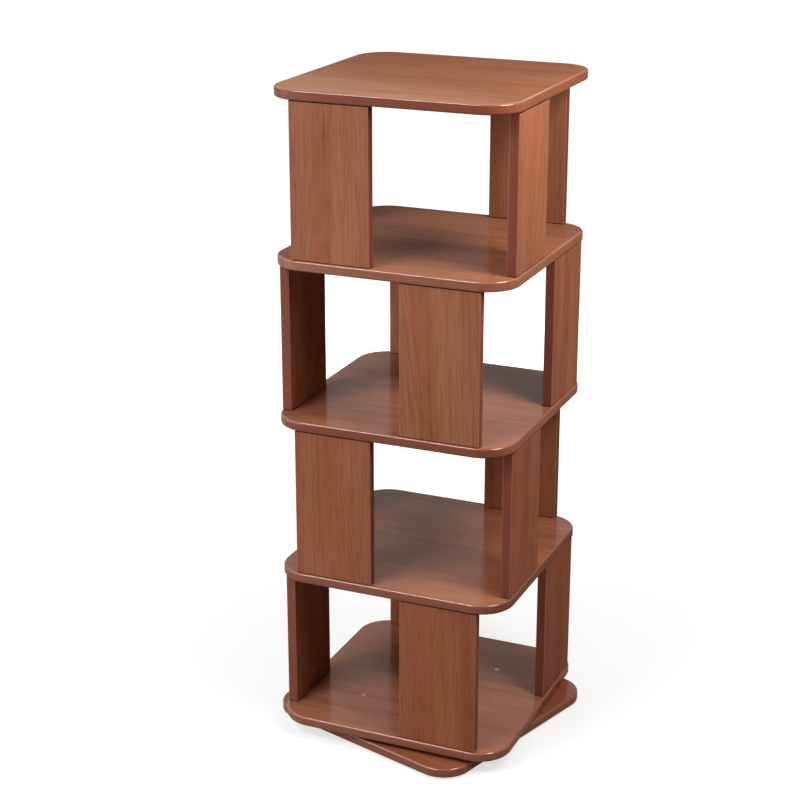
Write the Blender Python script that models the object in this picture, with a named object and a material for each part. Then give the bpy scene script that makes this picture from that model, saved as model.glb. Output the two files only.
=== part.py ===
"""Four-tier revolving bookcase.

Five rounded-square boards and sixteen upright panels make a case that turns on a ball
bearing over a fixed base board.  Metres, +Z up, origin on the turning axis at the floor.
The case lies square to X and Y, and the base is turned under it.
"""
import math

import bmesh
import bpy
from mathutils import Matrix

# Boards: the top, the three shelves and the bottom are alike
BOARD_SIDE = 0.450
BOARD_THICKNESS = 0.018
BOARD_CORNER_RADIUS = 0.063
BOARD_EDGE_ROUND = 0.0035

# Upright panels, one on each side of every tier
TIER_CLEAR_HEIGHT = 0.278
PANEL_WIDTH = 0.148
PANEL_THICKNESS = 0.018
PANEL_REACH_INTO_CORNER = 0.014
PANEL_SETBACK = 0.003
PANEL_EDGE_ROUND = 0.0012

# Dowels glued into both ends of a panel
DOWEL_DIAMETER = 0.008
DOWEL_ROOT = 0.006
DOWEL_EDGE_DISTANCE = 0.025
SOCKET_FLOOR = 0.007
SOCKET_SPARE_DEPTH = 0.001

# Cam lock in the inner face of a panel, with its bolt into the board below
CAM_DIAMETER = 0.015
CAM_POCKET_WALL = 0.005
CAM_HEIGHT = 0.034
CAM_BOLT_DIAMETER = 0.006

# Base board and its foot pads
BASE_SIDE = 0.443
BASE_THICKNESS = 0.018
BASE_CORNER_RADIUS = 0.057
BASE_EDGE_ROUND = 0.0035
BASE_TURN = math.radians(-16.8)
FOOT_DIAMETER = 0.036
FOOT_THICKNESS = 0.003
FOOT_EDGE_ROUND = 0.0006
FOOT_INSET = 0.070

# Turntable between the base and the bottom board
RACE_RADIUS = 0.1275
RING_WIDTH = 0.025
RING_LIP = 0.0004
RING_RUNNING_CLEARANCE = 0.001
BALL_DIAMETER = 0.0035
BALL_CLEARANCE = 0.0006
BALL_COUNT = 16
CAGE_THICKNESS = 0.0008
CAGE_CLEARANCE = 0.0006
CAGE_HEIGHT = 0.003

# Countersunk screws of the turntable
SCREW_COUNT = 4
SCREW_DIAMETER = 0.004
SCREW_HEAD_DIAMETER = 0.008
SCREW_HEAD_DEPTH = 0.002
BASE_SCREW_FLOOR = 0.007

# Clearances: faces that rest on each other, round pieces in their holes, and cutters past a face
SEAT_GAP = 0.0003
FIT_CLEARANCE = 0.0003
CUT_OVERSHOOT = 0.001

# Steps of the round shapes; the rings' flats stay within a sag that the running clearances allow
CORNER_STEPS = 6
EDGE_STEPS = 2
PIN_SIDES = 8
DISC_SIDES = 12
RING_FLAT_SAG = 0.00028
GROOVE_STEPS = 4
BALL_SIDES = 6
BALL_RINGS = 4
SHARP_ANGLE = math.radians(40)

# Tiers and boards from the bottom up; a tier's panels stand at the left (-1) or the right (+1)
# end of their sides, seen from outside
TIERS = (("bottom_tier", 1), ("third_tier", -1), ("second_tier", 1), ("top_tier", -1))
BOARDS = ("bottom_board", "lower_shelf", "middle_shelf", "upper_shelf", "top_board")
SIDES = ("front", "right", "back", "left")
QUARTER_TURN = math.radians(90)

# Turntable sizes that follow: the rings leave room for the cage, and lips stand past the grooves
RACE_GAP = CAGE_THICKNESS + 2 * CAGE_CLEARANCE
GROOVE_RADIUS = BALL_DIAMETER / 2 + BALL_CLEARANCE
GROOVE_SPREAD = math.acos(RACE_GAP / 2 / GROOVE_RADIUS)
TURNTABLE_HEIGHT = 2 * (GROOVE_RADIUS * math.sin(GROOVE_SPREAD) + RING_LIP + RING_RUNNING_CLEARANCE)
RING_HEIGHT = TURNTABLE_HEIGHT - SEAT_GAP - RING_RUNNING_CLEARANCE
RING_SIDES = math.ceil(math.pi / math.acos(1 - RING_FLAT_SAG / RACE_RADIUS))

# Heights that follow
BASE_BOTTOM = FOOT_THICKNESS + SEAT_GAP
BASE_TOP = BASE_BOTTOM + BASE_THICKNESS
RACE_HEIGHT = BASE_TOP + TURNTABLE_HEIGHT / 2
CASE_BOTTOM = BASE_TOP + TURNTABLE_HEIGHT
TIER_PITCH = BOARD_THICKNESS + TIER_CLEAR_HEIGHT
PANEL_HEIGHT = TIER_CLEAR_HEIGHT - 2 * SEAT_GAP

# Joint sizes that follow: sockets leave a floor of wood, and the cam pocket a wall
SOCKET_DEPTH = BOARD_THICKNESS - SOCKET_FLOOR
PIN_REACH = SOCKET_DEPTH - SOCKET_SPARE_DEPTH
CAM_POCKET_DEPTH = PANEL_THICKNESS - CAM_POCKET_WALL
CAM_DEPTH = CAM_POCKET_DEPTH - 2 * FIT_CLEARANCE


def clear_scene():
    """Remove every object that the file starts with."""
    for item in list(bpy.data.objects):
        bpy.data.objects.remove(item, do_unlink=True)


def material(name, colour, roughness, metallic=0.0):
    """Principled material of one colour (linear RGB)."""
    finish = bpy.data.materials.new(name)
    finish.use_nodes = True
    shader = finish.node_tree.nodes["Principled BSDF"]
    shader.inputs["Base Color"].default_value = (*colour, 1.0)
    shader.inputs["Roughness"].default_value = roughness
    shader.inputs["Metallic"].default_value = metallic
    return finish


def axis_empty(name, turn=0.0):
    """Empty on the turning axis that carries the pieces of one body."""
    empty = bpy.data.objects.new(name, None)
    empty.rotation_euler.z = turn
    bpy.context.collection.objects.link(empty)
    return empty


def piece(name, mesh, parent, finish=None, location=(0.0, 0.0, 0.0), turn=0.0):
    """Object for one mesh, placed under its parent."""
    item = bpy.data.objects.new(name, mesh)
    item.parent = parent
    item.location = location
    item.rotation_euler.z = turn
    if finish:
        item.data.materials.clear()
        item.data.materials.append(finish)
    bpy.context.collection.objects.link(item)
    return item


def cutter(name, mesh, parent, location=(0.0, 0.0, 0.0)):
    """Helper object for a Boolean, left out of the model."""
    item = piece(name, mesh, parent, location=location)
    item.hide_render = True
    item.display_type = "WIRE"
    return item


def boolean(target, tool, operation):
    """Live Boolean of a target with its tool."""
    modifier = target.modifiers.new(operation.lower(), "BOOLEAN")
    modifier.operation = operation
    modifier.object = tool


def to_mesh(name, bm):
    """Close a bmesh into a mesh with its faces outward and its round stretches smooth."""
    bmesh.ops.recalc_face_normals(bm, faces=bm.faces)
    mesh = bpy.data.meshes.new(name)
    bm.to_mesh(mesh)
    bm.free()
    mesh.shade_smooth()
    mesh.set_sharp_from_angle(angle=SHARP_ANGLE)
    return mesh


def applied_mesh(name, blank, tools):
    """Mesh of a blank with its Booleans applied; the blank and its tools are removed."""
    bpy.context.view_layer.update()
    evaluated = blank.evaluated_get(bpy.context.evaluated_depsgraph_get())
    mesh = bpy.data.meshes.new_from_object(evaluated)
    mesh.name = name
    for item in (blank, *tools):
        bpy.data.objects.remove(item, do_unlink=True)
    mesh.shade_smooth()
    mesh.set_sharp_from_angle(angle=SHARP_ANGLE)
    return mesh


def prism(name, outline, bottom, top, edge_round, round_rims):
    """Upright solid of an outline, with its rims or its upright edges rounded over."""
    bm = bmesh.new()
    low = [bm.verts.new((x, y, bottom)) for x, y in outline]
    high = [bm.verts.new((x, y, top)) for x, y in outline]
    bm.faces.new(reversed(low))
    bm.faces.new(high)
    for index in range(len(outline)):
        following = (index + 1) % len(outline)
        bm.faces.new((low[index], low[following], high[following], high[index]))
    rims = [edge for edge in bm.edges if edge.verts[0].co.z == edge.verts[1].co.z]
    uprights = [edge for edge in bm.edges if edge.verts[0].co.z != edge.verts[1].co.z]
    bmesh.ops.bevel(
        bm,
        geom=rims if round_rims else uprights,
        offset=edge_round,
        segments=EDGE_STEPS,
        profile=0.5,
        affect="EDGES",
    )
    return to_mesh(name, bm)


def rounded_square(side, radius):
    """Outline of a square with round corners, counterclockwise."""
    centre = side / 2 - radius
    points = []
    for quarter in range(4):
        middle = QUARTER_TURN * (quarter + 0.5)
        centre_x = math.copysign(centre, math.cos(middle))
        centre_y = math.copysign(centre, math.sin(middle))
        for step in range(CORNER_STEPS + 1):
            angle = QUARTER_TURN * (quarter + step / CORNER_STEPS)
            points.append((centre_x + radius * math.cos(angle), centre_y + radius * math.sin(angle)))
    return points


def turned(name, profile, sides, closed=False):
    """Solid turned about Z from (radius, height) points, down the outside from the top.

    A point of radius 0 is a pole; a closed profile makes a ring."""
    bm = bmesh.new()
    rings = []
    for radius, height in profile:
        count = sides if radius > 0 else 1
        angles = [2 * math.pi * index / sides for index in range(count)]
        rings.append([bm.verts.new((radius * math.cos(a), radius * math.sin(a), height)) for a in angles])
    following_rings = rings[1:] + rings[:1] if closed else rings[1:]
    for upper, lower in zip(rings, following_rings):
        for index in range(sides):
            following = (index + 1) % sides
            corners = [
                upper[index % len(upper)],
                lower[index % len(lower)],
                lower[following % len(lower)],
                upper[following % len(upper)],
            ]
            bm.faces.new(list(dict.fromkeys(corners)))
    return to_mesh(name, bm)


def cylinder(name, radius, bottom, top, sides):
    """Plain upright pin or bore."""
    return turned(name, [(0, top), (radius, top), (radius, bottom), (0, bottom)], sides)


def copies(name, placed_meshes):
    """One mesh of several (mesh, matrix) shapes that don't touch each other."""
    bm = bmesh.new()
    for mesh, matrix in placed_meshes:
        first = len(bm.verts)
        bm.from_mesh(mesh)
        bm.verts.ensure_lookup_table()
        bmesh.ops.transform(bm, matrix=matrix, verts=bm.verts[first:])
    return to_mesh(name, bm)


def around_axis(radius, count, first_angle=0.0):
    """Places on a circle about Z, each turned to face the axis."""
    turns = [first_angle + 2 * math.pi * index / count for index in range(count)]
    return [Matrix.Rotation(turn, 4, "Z") @ Matrix.Translation((radius, 0, 0)) for turn in turns]


def panel_places(end):
    """Places of a tier's four panels about the axis, at the left or right end of each side."""
    straight_end = BOARD_SIDE / 2 - BOARD_CORNER_RADIUS
    along = end * (straight_end + PANEL_REACH_INTO_CORNER - PANEL_WIDTH / 2)
    out = BOARD_SIDE / 2 - PANEL_SETBACK - PANEL_THICKNESS / 2
    shift = Matrix.Translation((along, -out, 0))
    return [Matrix.Rotation(QUARTER_TURN * index, 4, "Z") @ shift for index in range(len(SIDES))]


def dowel_places():
    """Places of the two dowels across a panel's end."""
    reach = PANEL_WIDTH / 2 - DOWEL_EDGE_DISTANCE
    return [Matrix.Translation((x, 0, 0)) for x in (-reach, reach)]


def panel_mesh():
    """Upright panel, outer face at -Y and lower end at z = 0.

    Two dowels stand out of each end.  The cam pocket opens in the inner face, and the bolt's
    bore runs from it through the lower end."""
    half_width = PANEL_WIDTH / 2
    half_thickness = PANEL_THICKNESS / 2
    outline = [
        (-half_width, -half_thickness),
        (half_width, -half_thickness),
        (half_width, half_thickness),
        (-half_width, half_thickness),
    ]
    blank = piece("panel_blank", prism("panel", outline, 0, PANEL_HEIGHT, PANEL_EDGE_ROUND, False), None)

    reach = PIN_REACH + SEAT_GAP
    lower_pin = cylinder("lower_pin", DOWEL_DIAMETER / 2, -reach, DOWEL_ROOT, PIN_SIDES)
    upper_pin = cylinder(
        "upper_pin", DOWEL_DIAMETER / 2, PANEL_HEIGHT - DOWEL_ROOT, PANEL_HEIGHT + reach, PIN_SIDES
    )
    pins = [(mesh, place) for place in dowel_places() for mesh in (lower_pin, upper_pin)]
    dowels = cutter("dowels", copies("dowels", pins), None)
    boolean(blank, dowels, "UNION")

    pocket_round = cylinder(
        "pocket", CAM_DIAMETER / 2 + FIT_CLEARANCE, -CUT_OVERSHOOT, CAM_POCKET_DEPTH, DISC_SIDES
    )
    pocket = cutter("pocket", copies("pocket", [(pocket_round, cam_place())]), None)
    boolean(blank, pocket, "DIFFERENCE")

    bore = cylinder(
        "bore", CAM_BOLT_DIAMETER / 2 + FIT_CLEARANCE, -CUT_OVERSHOOT, CAM_HEIGHT, PIN_SIDES
    )
    bolt_bore = cutter("bolt_bore", bore, None)
    boolean(blank, bolt_bore, "DIFFERENCE")
    return applied_mesh("panel", blank, (dowels, pocket, bolt_bore))


def cam_place():
    """Place of the cam's face on a panel's inner face, with +Z into the panel."""
    inner_face = Matrix.Translation((0, PANEL_THICKNESS / 2, CAM_HEIGHT))
    return inner_face @ Matrix.Rotation(QUARTER_TURN, 4, "X")


def cam_lock_mesh():
    """Cam disc just below the panel's inner face, drawn up on its bolt, in the panel's place."""
    disc_round = cylinder("disc", CAM_DIAMETER / 2, FIT_CLEARANCE, FIT_CLEARANCE + CAM_DEPTH, DISC_SIDES)
    disc = piece("cam_blank", copies("cam_disc", [(disc_round, cam_place())]), None)
    bolt_mesh = cylinder("bolt", CAM_BOLT_DIAMETER / 2, -SEAT_GAP - PIN_REACH, CAM_HEIGHT, PIN_SIDES)
    bolt = cutter("cam_bolt", bolt_mesh, None)
    boolean(disc, bolt, "UNION")
    return applied_mesh("cam_lock", disc, (bolt,))


def board_mesh():
    """Board of the case, underside at z = 0."""
    outline = rounded_square(BOARD_SIDE, BOARD_CORNER_RADIUS)
    return prism("board", outline, 0, BOARD_THICKNESS, BOARD_EDGE_ROUND, True)


def panel_sockets(end_above, end_below):
    """Dowel and bolt sockets in a board, for the tiers above and below it."""
    face = BOARD_THICKNESS
    floor = face - SOCKET_DEPTH
    pin_radius = DOWEL_DIAMETER / 2 + FIT_CLEARANCE
    bolt_radius = CAM_BOLT_DIAMETER / 2 + FIT_CLEARANCE
    upper = cylinder("upper_socket", pin_radius, floor, face + CUT_OVERSHOOT, PIN_SIDES)
    lower = cylinder("lower_socket", pin_radius, -CUT_OVERSHOOT, SOCKET_DEPTH, PIN_SIDES)
    bolt = cylinder("bolt_socket", bolt_radius, floor, face + CUT_OVERSHOOT, PIN_SIDES)
    sockets = []
    if end_above:
        for place in panel_places(end_above):
            sockets.append((bolt, place))
            sockets.extend((upper, place @ dowel) for dowel in dowel_places())
    if end_below:
        for place in panel_places(end_below):
            sockets.extend((lower, place @ dowel) for dowel in dowel_places())
    return sockets


def screw_profile(length):
    """Countersunk screw, head at z = 0 and point down."""
    shank = SCREW_DIAMETER / 2
    head = SCREW_HEAD_DIAMETER / 2
    return [(0, 0), (head, 0), (shank, -SCREW_HEAD_DEPTH), (shank, shank - length), (0, -length)]


def screw_hole_profile(length):
    """Countersunk hole of a screw, open above its head and flat at its end."""
    shank = SCREW_DIAMETER / 2 + FIT_CLEARANCE
    head = SCREW_HEAD_DIAMETER / 2 + FIT_CLEARANCE
    end = -length - FIT_CLEARANCE
    rim = [(0, CUT_OVERSHOOT), (head, CUT_OVERSHOOT), (head, 0)]
    return [*rim, (shank, -SCREW_HEAD_DEPTH), (shank, end), (0, end)]


def ring_profile(side, bottom):
    """Section of a turntable ring: -1 the inner one, +1 the outer one.

    The ball groove is an arc about the race in the face towards the other ring."""
    near = RACE_RADIUS + side * RACE_GAP / 2
    far = near + side * RING_WIDTH
    top = bottom + RING_HEIGHT
    arc = []
    for step in range(GROOVE_STEPS + 1):
        angle = GROOVE_SPREAD * (1 - 2 * step / GROOVE_STEPS)
        radius = RACE_RADIUS + side * GROOVE_RADIUS * math.cos(angle)
        arc.append((radius, RACE_HEIGHT + GROOVE_RADIUS * math.sin(angle)))
    return [(far, top), (near, top), *arc, (near, bottom), (far, bottom)]


def add_base(parent, wood, rubber):
    """Base board on four foot pads; returns the board."""
    outline = rounded_square(BASE_SIDE, BASE_CORNER_RADIUS)
    mesh = prism("base_board", outline, 0, BASE_THICKNESS, BASE_EDGE_ROUND, True)
    base = piece("base_board", mesh, parent, wood, (0, 0, BASE_BOTTOM))

    radius = FOOT_DIAMETER / 2
    profile = [
        (0, FOOT_THICKNESS),
        (radius, FOOT_THICKNESS),
        (radius, FOOT_EDGE_ROUND),
        (radius - FOOT_EDGE_ROUND, 0),
        (0, 0),
    ]
    foot = turned("foot_pad", profile, DISC_SIDES)
    reach = math.sqrt(2) * (BASE_SIDE / 2 - FOOT_INSET)
    for index, place in enumerate(around_axis(reach, 4, QUARTER_TURN / 2)):
        piece(f"foot_pad_{index + 1}", foot, parent, rubber, place.translation)
    return base


def add_case(parent, wood, zinc):
    """Boards, panels and cam locks of the turning case; returns the bottom board."""
    panel = panel_mesh()
    cam_lock = cam_lock_mesh()
    boards = []
    for level, name in enumerate(BOARDS):
        height = CASE_BOTTOM + level * TIER_PITCH
        board = piece(name, board_mesh(), parent, wood, (0, 0, height))
        end_above = TIERS[level][1] if level < len(TIERS) else 0
        end_below = TIERS[level - 1][1] if level else 0
        sockets = copies(f"{name}_sockets", panel_sockets(end_above, end_below))
        boolean(board, cutter(f"{name}_sockets", sockets, parent, (0, 0, height)), "DIFFERENCE")
        boards.append(board)

    for level, (tier, end) in enumerate(TIERS):
        height = CASE_BOTTOM + level * TIER_PITCH + BOARD_THICKNESS + SEAT_GAP
        for index, (side, place) in enumerate(zip(SIDES, panel_places(end))):
            x, y, _ = place.translation
            turn = QUARTER_TURN * index
            piece(f"{tier}_{side}_panel", panel, parent, wood, (x, y, height), turn)
            piece(f"{tier}_{side}_cam_lock", cam_lock, parent, zinc, (x, y, height), turn)
    return boards[0]


def add_screws(name, parent, finish, radius, top, length, drilled):
    """Countersunk screws on a circle, just below a face, with their holes in what they pass."""
    screw = turned(name, screw_profile(length), PIN_SIDES)
    hole = turned(f"{name}_hole", screw_hole_profile(length), PIN_SIDES)
    places = around_axis(radius, SCREW_COUNT, QUARTER_TURN / 2)
    height = top - SEAT_GAP
    for index, place in enumerate(places):
        x, y, _ = place.translation
        piece(f"{name}_{index + 1}", screw, parent, finish, (x, y, height))
    holes = copies(f"{name}_holes", [(hole, place) for place in places])
    tool = cutter(f"{name}_holes", holes, parent, (0, 0, height))
    for target in drilled:
        boolean(target, tool, "DIFFERENCE")


def add_turntable(base_axis, case_axis, cage_axis, base, bottom_board, finishes):
    """Fixed ring on the base, turning ring under the bottom board, and the ball cage between."""
    aluminium, steel, nylon = finishes
    fixed_bottom = BASE_TOP + SEAT_GAP
    fixed_mesh = turned("fixed_ring", ring_profile(-1, fixed_bottom), RING_SIDES, closed=True)
    fixed_ring = piece("turntable_fixed_ring", fixed_mesh, base_axis, aluminium)
    turning_bottom = BASE_TOP + RING_RUNNING_CLEARANCE
    turning_mesh = turned("turning_ring", ring_profile(1, turning_bottom), RING_SIDES, closed=True)
    turning_ring = piece("turntable_turning_ring", turning_mesh, case_axis, aluminium)

    inner = RACE_RADIUS - CAGE_THICKNESS / 2
    outer = RACE_RADIUS + CAGE_THICKNESS / 2
    low = RACE_HEIGHT - CAGE_HEIGHT / 2
    high = RACE_HEIGHT + CAGE_HEIGHT / 2
    band = turned(
        "cage", [(inner, high), (outer, high), (outer, low), (inner, low)], RING_SIDES, closed=True
    )
    cage = piece("turntable_ball_cage", band, cage_axis, nylon)
    arcs = [math.pi * step / BALL_RINGS for step in range(1, BALL_RINGS)]
    radius = BALL_DIAMETER / 2
    curve = [(radius * math.sin(arc), radius * math.cos(arc)) for arc in arcs]
    ball = turned("ball", [(0, radius), *curve, (0, -radius)], BALL_SIDES)
    balls = copies("balls", [(ball, place) for place in around_axis(RACE_RADIUS, BALL_COUNT)])
    boolean(cage, cutter("balls", balls, cage_axis, (0, 0, RACE_HEIGHT)), "UNION")

    ring_centre = RACE_GAP / 2 + RING_WIDTH / 2
    add_screws(
        "base_screw",
        base_axis,
        steel,
        RACE_RADIUS - ring_centre,
        fixed_bottom + RING_HEIGHT,
        RING_HEIGHT + BASE_THICKNESS - BASE_SCREW_FLOOR,
        (fixed_ring, base),
    )
    add_screws(
        "case_screw",
        case_axis,
        steel,
        RACE_RADIUS + ring_centre,
        CASE_BOTTOM + BOARD_THICKNESS,
        BOARD_THICKNESS + RING_HEIGHT,
        (bottom_board, turning_ring),
    )


def main():
    clear_scene()
    wood = material("stained_wood", (0.27, 0.115, 0.06), 0.35)
    rubber = material("rubber", (0.02, 0.02, 0.02), 0.8)
    zinc = material("zinc", (0.45, 0.44, 0.42), 0.4, 1.0)
    aluminium = material("aluminium", (0.6, 0.6, 0.6), 0.35, 1.0)
    steel = material("steel", (0.5, 0.5, 0.48), 0.3, 1.0)
    nylon = material("nylon", (0.75, 0.73, 0.66), 0.5)

    base_axis = axis_empty("base_axis", BASE_TURN)
    case_axis = axis_empty("case_axis")
    cage_axis = axis_empty("cage_axis")
    base = add_base(base_axis, wood, rubber)
    bottom_board = add_case(case_axis, wood, zinc)
    add_turntable(base_axis, case_axis, cage_axis, base, bottom_board, (aluminium, steel, nylon))
    bpy.context.view_layer.update()


main()
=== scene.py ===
import math
from functools import partial

import bmesh
import bpy
import numpy as np
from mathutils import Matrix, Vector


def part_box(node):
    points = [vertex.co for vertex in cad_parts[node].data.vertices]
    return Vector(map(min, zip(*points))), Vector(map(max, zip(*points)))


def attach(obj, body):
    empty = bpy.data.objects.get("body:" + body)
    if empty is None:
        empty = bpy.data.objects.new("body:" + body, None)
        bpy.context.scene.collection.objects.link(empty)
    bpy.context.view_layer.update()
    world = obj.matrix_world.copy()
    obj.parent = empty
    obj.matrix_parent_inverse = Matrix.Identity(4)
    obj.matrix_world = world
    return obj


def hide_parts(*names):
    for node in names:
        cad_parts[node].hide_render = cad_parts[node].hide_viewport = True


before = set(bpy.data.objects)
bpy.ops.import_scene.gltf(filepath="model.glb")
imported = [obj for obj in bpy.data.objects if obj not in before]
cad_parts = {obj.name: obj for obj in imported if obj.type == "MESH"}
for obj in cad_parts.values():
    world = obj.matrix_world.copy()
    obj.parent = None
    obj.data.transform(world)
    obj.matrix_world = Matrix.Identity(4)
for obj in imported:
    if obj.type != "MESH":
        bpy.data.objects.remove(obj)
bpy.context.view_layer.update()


# Foot pads: four round pads of black rubber under the base board, one near each corner. They are
# moulded with a soft rim and a ring groove in the tread, and their flat backs are stuck to the board.
PAD_COUNT = 4
PAD_RIM = 0.0008
PAD_BACK_EDGE = 0.0003
PAD_GROOVE_DEPTH = 0.0006
# Shares of the pad's radius: where the tread begins, the middle of its groove and half its width
PAD_TREAD_START = 0.50
PAD_GROOVE_MIDDLE = 0.66
PAD_GROOVE_HALF = 0.06
RUBBER_BLACK = (0.022, 0.021, 0.020, 1.0)
RUBBER_DUSTY = (0.050, 0.047, 0.044, 1.0)
SMOOTH_BEND = math.radians(35.0)


def turned(profile, centre=(0.0, 0.0, 0.0), steps=64):
    """A profile of (radius, height) pairs turned about an upright axis through centre: at angle a, a
    pair goes to (radius cos a, radius sin a, height). Rows follow the profile, columns the angle."""
    radius, height = np.asarray(profile, float).T[:, :, None]
    angle = np.linspace(0.0, 2.0 * np.pi, steps, endpoint=False)
    grid = np.stack([radius * np.cos(angle), radius * np.sin(angle), height + 0.0 * angle], axis=-1)
    return grid + np.asarray(centre, float)


def round_quads(index):
    """Quads between neighbouring rows of a grid of point numbers whose columns go round."""
    beside = np.roll(index, -1, axis=1)
    quads = np.stack([index[:-1], beside[:-1], beside[1:], index[1:]], axis=-1)
    return quads.reshape(-1, 4).tolist()


def closed_piece(name, points, faces, smooth_bend):
    """An object made of points and faces. The faces are turned outwards, and edges that bend by less
    than smooth_bend are shaded round."""
    mesh = bpy.data.meshes.new(name)
    mesh.from_pydata(points.tolist(), [], faces)
    shell = bmesh.new()
    shell.from_mesh(mesh)
    bmesh.ops.recalc_face_normals(shell, faces=shell.faces)
    shell.to_mesh(mesh)
    shell.free()
    mesh.polygons.foreach_set("use_smooth", np.ones(len(mesh.polygons), bool))
    mesh.set_sharp_from_angle(angle=smooth_bend)
    piece = bpy.data.objects.new(name, mesh)
    bpy.context.collection.objects.link(piece)
    return piece


def skin(name, shells, ring=False):
    """A closed piece of one or more grids of points whose columns go round: quads join neighbouring
    rows, and the end rows get flat caps, or in a ring are joined to each other."""
    faces = []
    start = 0
    for rows in shells:
        index = start + np.arange(rows[..., 0].size).reshape(rows.shape[:2])
        start += index.size
        if ring:
            faces += round_quads(np.vstack([index, index[:1]]))
        else:
            faces += round_quads(index) + [index[0, ::-1].tolist(), index[-1].tolist()]
    points = np.vstack([rows.reshape(-1, 3) for rows in shells])
    return closed_piece(name, points, faces, SMOOTH_BEND)


def set_inputs(tree, node, inputs):
    """Gives each named socket of a node a plain value, or a link from another node's output."""
    for socket, value in inputs.items():
        if isinstance(value, bpy.types.NodeSocket):
            tree.links.new(value, node.inputs[socket])
        else:
            node.inputs[socket].default_value = value


def add_node(tree, kind, inputs=None, **choices):
    """Adds a node, makes its own choices and then sets its inputs."""
    made = tree.nodes.new(kind)
    for choice, value in choices.items():
        setattr(made, choice, value)
    set_inputs(tree, made, inputs or {})
    return made


def noise(tree, place, scale, detail):
    """Noise over a place, from 0 to 1."""
    inputs = {"Vector": place, "Scale": scale, "Detail": detail}
    return add_node(tree, "ShaderNodeTexNoise", inputs).outputs["Fac"]


def mixed(tree, share, first, second, kind="RGBA"):
    """What lies between the first and the second by share: colours, or numbers if kind is FLOAT."""
    inputs = {"Factor": share, "A": first, "B": second}
    return add_node(tree, "ShaderNodeMix", inputs, data_type=kind).outputs["Result"]


def ranged(tree, value, results, ends=(0.0, 1.0), how="LINEAR"):
    """A value mapped from the range between its two ends to the range between the two results."""
    inputs = {
        "Value": value,
        "From Min": ends[0],
        "From Max": ends[1],
        "To Min": results[0],
        "To Max": results[1],
    }
    return add_node(tree, "ShaderNodeMapRange", inputs, interpolation_type=how).outputs["Result"]


def bumped(tree, height, strength, distance):
    """The normal of a surface with that relief."""
    inputs = {"Height": height, "Strength": strength, "Distance": distance}
    return add_node(tree, "ShaderNodeBump", inputs).outputs["Normal"]


def new_finish(name):
    """A material with nodes: the material, its tree and its Principled shader."""
    material = bpy.data.materials.new(name)
    material.use_nodes = True
    tree = material.node_tree
    return material, tree, tree.nodes["Principled BSDF"]


rubber, tree, shader = new_finish("black_rubber")
place = add_node(tree, "ShaderNodeTexCoord").outputs["Object"]
dust = noise(tree, place, 180.0, 5.0)
pebble = add_node(tree, "ShaderNodeTexVoronoi", {"Vector": place, "Scale": 1400.0}).outputs["Distance"]
set_inputs(tree, shader, {
    "Base Color": mixed(tree, dust, RUBBER_BLACK, RUBBER_DUSTY),
    "Roughness": ranged(tree, dust, (0.6, 0.85)),
    "Normal": bumped(tree, pebble, 0.25, 0.0003),
    "Specular IOR Level": 0.3,
})

for number in range(1, PAD_COUNT + 1):
    node = f"foot_pad_{number}"
    low, high = map(np.array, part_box(node))
    centre = (low + high) / 2
    radius = (high[0] - low[0]) / 2
    tall = high[2] - low[2]
    turn = np.linspace(0.0, np.pi / 2, 7)
    bow = np.linspace(0.0, np.pi, 9)
    reach = radius * (PAD_GROOVE_MIDDLE - PAD_GROOVE_HALF * np.cos(bow))
    groove = np.column_stack([reach, PAD_GROOVE_DEPTH * np.sin(bow)])
    rim = np.column_stack([radius - PAD_RIM * (1 - np.sin(turn)), PAD_RIM * (1 - np.cos(turn))])
    back = [[radius, tall - PAD_BACK_EDGE], [radius - PAD_BACK_EDGE, tall]]
    profile = np.vstack([[[radius * PAD_TREAD_START, 0.0]], groove, rim, back])
    pad = skin(f"rubber_pad_{number}", [turned(profile, (centre[0], centre[1], low[2]))])
    pad.data.materials.append(rubber)
    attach(pad, "base")
    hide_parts(node)


# Base board: a rounded square of 18 mm board with a stained wood veneer, its edge routed to a soft round.
# It stands on the pads and carries the turntable, and sits turned against the case above it.
BASE_SIDE = 0.443
BASE_CORNER = 0.057
BASE_TURN = math.radians(-16.8)
# How red its veneer is, and how fully its long edges and its ends are stained, where a paler share also
# stands in for light and sheen on the edges
BASE_RED = 0.6
BASE_STAIN_AND_LIGHT = (0.2, 0.2)
EDGE_ROUND = 0.0035
CORNER_STEPS = 24
FLAT_MARGIN = 0.001
# How far an edge's stain laps on to its bends, how strong the painted highlight and gloss on the lower
# bend are, and how dark the painted shade along it is
STAIN_OVERLAP = 1.25
LOWER_ARRIS_HIGHLIGHT = 0.15
LOWER_EDGE_PAINTED_SHADE = 0.6
# Where in the log a board may begin, along, across and into it
BOARD_LOG_FROM = (0.0, 0.10, 0.05)
BOARD_LOG_TO = (40.0, 0.22, 0.09)
EARLY_WOOD = (0.345, 0.138, 0.073, 1.0)
RED_WOOD = (0.300, 0.094, 0.047, 1.0)
LATE_WOOD = (0.110, 0.032, 0.015, 1.0)
EDGE_STAIN = (0.205, 0.050, 0.025, 1.0)
# Pale colour painted on an arris as a highlight
ARRIS_PAINTED_HIGHLIGHT = (0.560, 0.270, 0.180, 1.0)
# Dark colour for painted shade where panels meet boards and along a board's lower edge
PAINTED_SHADE_DARK = (0.016, 0.006, 0.004, 1.0)


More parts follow.
